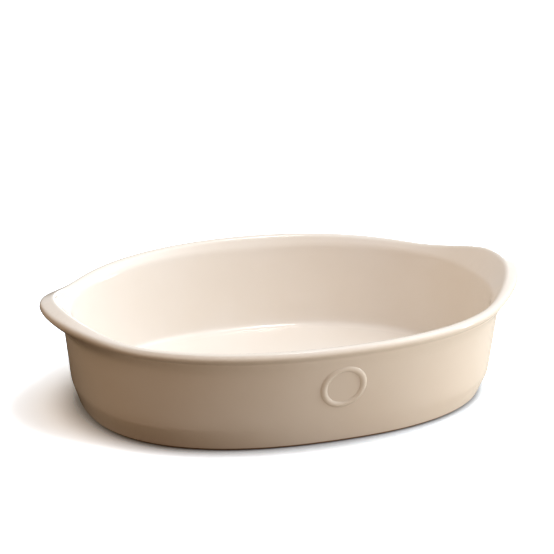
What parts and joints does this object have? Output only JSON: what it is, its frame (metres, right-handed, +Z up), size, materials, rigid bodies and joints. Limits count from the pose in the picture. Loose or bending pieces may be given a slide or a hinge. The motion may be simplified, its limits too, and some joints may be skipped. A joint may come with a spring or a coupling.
{
  "type": "oval oven dish",
  "caption": "Deep oval glazed ceramic oven dish with a flared rolled rim, a wing handle at each end, a plain raised ring on a long side and a bare foot ring.",
  "frame": {"origin": "middle of the foot ring, at the level that the dish rests on", "axes": "+X along the dish towards one wing handle, +Z up, and the plain raised ring on the -Y side"},
  "size_m": [0.3498, 0.2251, 0.0827],
  "materials": {
    "fired_clay": "bare fired stoneware, matte",
    "cream_glaze": "glossy cream glaze"
  },
  "bodies": {
    "root": {"stoneware_body": "fired_clay", "glaze_coat": "cream_glaze", "base_glaze": "cream_glaze"}
  },
  "joints": []
}
